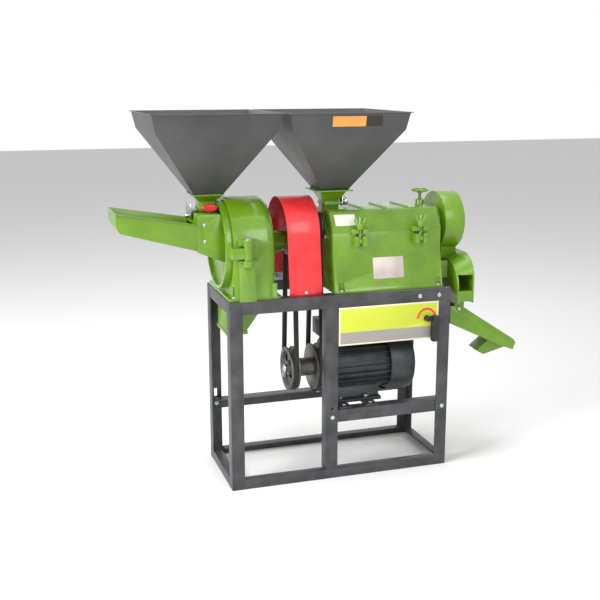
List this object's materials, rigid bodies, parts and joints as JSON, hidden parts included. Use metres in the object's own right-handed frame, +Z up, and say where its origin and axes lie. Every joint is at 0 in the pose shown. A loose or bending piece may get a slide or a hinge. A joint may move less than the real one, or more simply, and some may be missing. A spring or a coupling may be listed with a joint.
{
  "type": "combined rice huller and claw grinder",
  "caption": "Electric rice huller with a claw grinder, hoppers, belt drive and outlet chute on an angle-iron stand, jointed shafts, door, gates and clamps.",
  "frame": {"origin": "bottom centre of the whole machine's bounding box, on the floor", "axes": "+X along the stand from the grinder towards the outlet chute, -Y the front with the control panel, +Z up"},
  "size_m": [1.306, 0.404, 1.152],
  "materials": {
    "black_frame_paint": "satin black paint on hot-rolled angle iron",
    "black_sheet_paint": "satin black paint on folded sheet",
    "green_paint": "glossy green enamel on cast iron",
    "green_sheet_paint": "glossy green enamel on sheet steel",
    "red_paint": "glossy red enamel on sheet steel",
    "motor_paint": "matt black paint on cast aluminium",
    "zinc_steel": "bright zinc plating",
    "machined_steel": "turned and ground steel",
    "cast_iron_bare": "bare chilled cast iron",
    "copper_winding": "laminations and varnished windings",
    "black_rubber": "matt moulded rubber",
    "black_plastic": "moulded thermoset",
    "fascia_print": "printed film on sheet steel",
    "label_film": "printed self-adhesive film",
    "nameplate_aluminium": "satin aluminium plate",
    "red_knob_plastic": "glossy moulded plastic",
    "pulley_iron": "turned cast iron"
  },
  "bodies": {
    "stand": {"frame_posts": "black_frame_paint", "frame_top_rails": "black_frame_paint", "frame_bottom_rails": "black_frame_paint", "motor_rails": "black_frame_paint", "motor_cross_bars": "black_frame_paint", "motor_housing": "motor_paint", "motor_end_shields": "motor_paint", "motor_stator": "copper_winding", "motor_fan_cover": "motor_paint", "motor_terminal_box": "motor_paint", "grinder_belt": "black_rubber", "mill_belt": "black_rubber", "belt_guard": "red_paint", "grinder_casing": "green_paint", "grinder_sieve": "machined_steel", "grinder_door_fixings": "green_paint", "grinder_outlet_spout": "green_sheet_paint", "mill_body": "green_paint", "mill_cover": "green_paint", "mill_bearing_housings": "green_paint", "mill_screen": "machined_steel", "mill_nameplate": "nameplate_aluminium", "mill_throat": "green_sheet_paint", "mill_hopper": "black_sheet_paint", "clamp_lugs": "green_paint", "clamp_pins": "green_paint", "labels": "label_film", "blower_drum": "green_sheet_paint", "discharge_hood": "green_sheet_paint", "discharge_chute": "green_sheet_paint", "control_box": "black_sheet_paint", "control_fascia": "fascia_print", "bearings": "machined_steel", "machine_fasteners": "zinc_steel"},
    "motor_rotor": {"motor_rotor_shaft": "machined_steel", "motor_fan": "black_plastic", "motor_double_pulley": "pulley_iron"},
    "grinder_spindle": {"grinder_rotor": "machined_steel", "grinder_pulley": "pulley_iron"},
    "mill_spindle": {"mill_shaft": "machined_steel", "milling_roller": "cast_iron_bare", "mill_pulley": "pulley_iron", "blower_impeller": "machined_steel"},
    "grinder_door": {"grinder_door": "green_paint", "grinder_fixed_claws": "cast_iron_bare", "feed_box": "green_sheet_paint", "feed_tray": "green_sheet_paint", "grinder_throat": "green_sheet_paint", "grinder_hopper": "black_sheet_paint", "door_fasteners": "zinc_steel"},
    "grinder_slide_gate": {"grinder_gate": "green_sheet_paint"},
    "grinder_gate_clamp": {"grinder_gate_lock": "red_knob_plastic"},
    "mill_slide_gate": {"mill_gate": "green_sheet_paint"},
    "left_swing_bolt": {"swing_bolt_left": "green_paint"},
    "right_swing_bolt": {"swing_bolt_right": "green_paint"},
    "left_wing_nut": {"wing_nut_left": "green_paint"},
    "right_wing_nut": {"wing_nut_right": "green_paint"},
    "hand_wheel": {"mill_handwheel": "green_paint"},
    "flow_plate": {"flow_regulator": "machined_steel"},
    "switch_lever": {"switch_handle": "black_plastic"}
  },
  "joints": [
    {"name": "motor_shaft_turn", "type": "hinge", "parent": "stand", "child": "motor_rotor", "pos_m": [0.115, 0, 0.332], "axis": [1, 0, 0], "continuous": true},
    {"name": "grinder_shaft_turn", "type": "hinge", "parent": "stand", "child": "grinder_spindle", "pos_m": [-0.155, 0, 0.753], "axis": [1, 0, 0], "continuous": true},
    {"name": "mill_shaft_turn", "type": "hinge", "parent": "stand", "child": "mill_spindle", "pos_m": [0.165, 0, 0.796], "axis": [1, 0, 0], "continuous": true},
    {"name": "grinder_door_swing", "type": "hinge", "parent": "stand", "child": "grinder_door", "pos_m": [-0.277, -0.161, 0.753], "axis": [0, 0, 1], "range_deg": [0, 100]},
    {"name": "grinder_gate_slide", "type": "slide", "parent": "grinder_door", "child": "grinder_slide_gate", "axis": [-1, 0, 0], "range_m": [0, 0.045]},
    {"name": "grinder_gate_clamp_turn", "type": "hinge", "parent": "grinder_door", "child": "grinder_gate_clamp", "pos_m": [-0.368, -0.04, 0.8725], "axis": [0, 1, 0], "range_deg": [-20, 20]},
    {"name": "mill_gate_slide", "type": "slide", "parent": "stand", "child": "mill_slide_gate", "axis": [1, 0, 0], "range_m": [0, 0.045]},
    {"name": "left_swing_bolt_swing", "type": "hinge", "parent": "stand", "child": "left_swing_bolt", "pos_m": [0.088, -0.126, 0.76], "axis": [1, 0, 0], "range_deg": [0, 120]},
    {"name": "right_swing_bolt_swing", "type": "hinge", "parent": "stand", "child": "right_swing_bolt", "pos_m": [0.292, -0.126, 0.76], "axis": [1, 0, 0], "range_deg": [0, 120]},
    {"name": "left_wing_nut_turn", "type": "hinge", "parent": "left_swing_bolt", "child": "left_wing_nut", "pos_m": [0.088, -0.126, 0.81], "axis": [0, 0, 1], "continuous": true},
    {"name": "right_wing_nut_turn", "type": "hinge", "parent": "right_swing_bolt", "child": "right_wing_nut", "pos_m": [0.292, -0.126, 0.81], "axis": [0, 0, 1], "continuous": true},
    {"name": "hand_wheel_turn", "type": "hinge", "parent": "stand", "child": "hand_wheel", "pos_m": [0.344, 0, 0.896], "axis": [0, 0, 1], "range_deg": [0, 1080]},
    {"name": "flow_plate_lift", "type": "slide", "parent": "stand", "child": "flow_plate", "axis": [0, 0, 1], "range_m": [0, 0.006]},
    {"name": "switch_lever_turn", "type": "hinge", "parent": "stand", "child": "switch_lever", "pos_m": [0.308, -0.15, 0.505], "axis": [0, 1, 0], "range_deg": [0, 90]}
  ],
  "couplings": [
    {"joint": "grinder_shaft_turn", "follows": "motor_shaft_turn", "ratio": 1.5882},
    {"joint": "mill_shaft_turn", "follows": "motor_shaft_turn", "ratio": 1.8101},
    {"joint": "flow_plate_lift", "follows": "hand_wheel_turn", "m_per_rad": 0.0003183}
  ]
}
